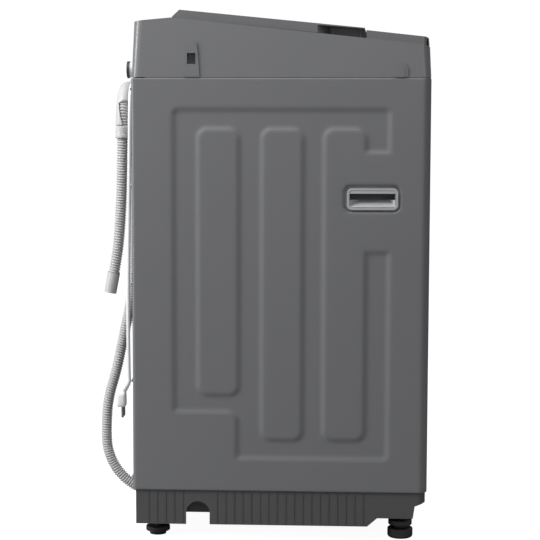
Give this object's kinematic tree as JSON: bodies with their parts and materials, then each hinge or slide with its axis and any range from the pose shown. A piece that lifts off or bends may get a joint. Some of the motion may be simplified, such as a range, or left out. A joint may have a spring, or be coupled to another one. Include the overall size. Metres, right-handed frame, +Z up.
{
  "type": "top load washing machine",
  "caption": "Dark grey top load washer with sloped lid, front control wedge, side grips, spinning basket and pulsator, hung drain hose and mains lead.",
  "frame": {"origin": "on the floor under the middle of the machine's box, from the front panel to the inlet cap", "axes": "+Z up, +Y towards the rear, +X to the right of a user at the front"},
  "size_m": [0.523, 0.6196, 0.95],
  "materials": {
    "panel_paint": "satin dark grey enamel",
    "top_plastic": "satin dark grey moulding",
    "lid_plastic": "dark grey moulding",
    "base_plastic": "dark grey moulding",
    "handle_plastic": "light grey moulding",
    "smoked_glass": "polished",
    "display": "polished black",
    "key_plastic": "satin",
    "board": "solder mask",
    "galvanised": "zinc coated",
    "stainless": "brushed",
    "cover_plastic": "dark grey",
    "tub_plastic": "moulded",
    "white_plastic": "moulded",
    "foot_rubber": "matte",
    "black_plastic": "matte",
    "hose_plastic": "light grey",
    "cord_plastic": "white sheath",
    "pin_metal": "nickel plated",
    "casting": "cast",
    "bellows_rubber": "matte",
    "motor_metal": "painted",
    "drive_steel": "plain"
  },
  "bodies": {
    "cabinet": {"cabinet_shell": "panel_paint", "rear_panel": "galvanised", "rear_access_cover": "cover_plastic", "rear_screws": "galvanised", "base_skirt": "base_plastic", "rear_feet": "foot_rubber", "foot_lock_nuts": "black_plastic", "top_frame": "top_plastic", "screw_covers": "top_plastic", "control_panel": "lid_plastic", "display_window": "display", "control_board": "board", "handle_cup_left": "handle_plastic", "handle_cup_right": "handle_plastic", "inlet_valve": "white_plastic", "inlet_nozzle": "white_plastic", "inlet_cap": "black_plastic", "detergent_housing": "tub_plastic", "lid_lock": "white_plastic", "corner_brackets": "galvanised", "suspension_rods": "drive_steel", "suspension_springs": "drive_steel", "pump_housing": "white_plastic", "pump_motor": "motor_metal", "drain_spout": "black_plastic", "drain_hose": "hose_plastic", "hose_guide": "hose_plastic", "hose_cuff": "hose_plastic", "hose_bracket": "hose_plastic", "cord_gland": "cord_plastic", "cord_clips": "white_plastic", "power_cord": "cord_plastic", "power_plug": "cord_plastic", "plug_pins": "pin_metal"},
    "tub": {"outer_tub": "tub_plastic", "tub_cover": "tub_plastic", "gear_case": "casting", "motor_bracket": "galvanised", "motor_housing": "motor_metal", "drive_belt": "bellows_rubber", "drain_bellows": "bellows_rubber"},
    "basket": {"basket_drum": "stainless", "basket_base": "tub_plastic", "balance_ring": "white_plastic", "lint_filters": "white_plastic"},
    "pulsator_assembly": {"pulsator": "tub_plastic", "pulsator_shaft": "drive_steel"},
    "large_pulley": {"drive_pulley": "casting"},
    "motor_rotor": {"motor_pulley": "drive_steel"},
    "lid": {"lid_frame": "lid_plastic", "lid_glass": "smoked_glass", "hinge_pins": "drive_steel"},
    "drawer": {"detergent_drawer": "white_plastic"},
    "impeller": {"pump_impeller": "black_plastic"},
    "left_front_foot": {"front_foot_left": "black_plastic"},
    "right_front_foot": {"front_foot_right": "black_plastic"},
    "power_key": {"power_button": "key_plastic"},
    "start_key": {"start_button": "key_plastic"},
    "program_key": {"program_button": "key_plastic"},
    "water_level_key": {"water_level_button": "key_plastic"}
  },
  "joints": [
    {"name": "lid_hinge", "type": "hinge", "parent": "cabinet", "child": "lid", "pos_m": [0, 0.1815, 0.93], "axis": [-1, 0, 0], "range_deg": [0, 95]},
    {"name": "tub_suspension", "type": "slide", "parent": "cabinet", "child": "tub", "axis": [0, 0, 1], "range_m": [-0.035, 0.01], "stiffness_N_per_m": 14000, "springref_m": 0.018, "deforming": ["suspension_springs"]},
    {"name": "basket_spin", "type": "hinge", "parent": "tub", "child": "basket", "pos_m": [0, -0.007, 0.5], "axis": [0, 0, 1], "continuous": true},
    {"name": "pulley_spin", "type": "hinge", "parent": "tub", "child": "large_pulley", "pos_m": [0, -0.007, 0.158], "axis": [0, 0, 1], "continuous": true},
    {"name": "motor_spin", "type": "hinge", "parent": "tub", "child": "motor_rotor", "pos_m": [0.165, -0.007, 0.158], "axis": [0, 0, 1], "continuous": true},
    {"name": "pulsator_spin", "type": "hinge", "parent": "tub", "child": "pulsator_assembly", "pos_m": [0, -0.007, 0.32], "axis": [0, 0, 1], "continuous": true},
    {"name": "drawer_slide", "type": "slide", "parent": "cabinet", "child": "drawer", "axis": [0, -1, 0], "range_m": [0, 0.075]},
    {"name": "pump_spin", "type": "hinge", "parent": "cabinet", "child": "impeller", "pos_m": [-0.06, 0.153, 0.068], "axis": [1, 0, 0], "continuous": true},
    {"name": "left_foot_turn", "type": "hinge", "parent": "cabinet", "child": "left_front_foot", "pos_m": [-0.215, -0.226, 0.04], "axis": [0, 0, 1], "range_deg": [-720, 720]},
    {"name": "right_foot_turn", "type": "hinge", "parent": "cabinet", "child": "right_front_foot", "pos_m": [0.215, -0.226, 0.04], "axis": [0, 0, 1], "range_deg": [-720, 720]},
    {"name": "power_press", "type": "slide", "parent": "cabinet", "child": "power_key", "axis": [0, 0.1079, -0.9942], "range_m": [0, 0.0018], "stiffness_N_per_m": 900},
    {"name": "start_press", "type": "slide", "parent": "cabinet", "child": "start_key", "axis": [0, 0.1079, -0.9942], "range_m": [0, 0.0018], "stiffness_N_per_m": 900},
    {"name": "program_press", "type": "slide", "parent": "cabinet", "child": "program_key", "axis": [0, 0.1079, -0.9942], "range_m": [0, 0.0018], "stiffness_N_per_m": 900},
    {"name": "water_level_press", "type": "slide", "parent": "cabinet", "child": "water_level_key", "axis": [0, 0.1079, -0.9942], "range_m": [0, 0.0018], "stiffness_N_per_m": 900}
  ],
  "couplings": [
    {"joint": "motor_spin", "follows": "pulley_spin", "ratio": 3.2727},
    {"joint": "pulsator_spin", "follows": "pulley_spin", "ratio": 0.25}
  ]
}
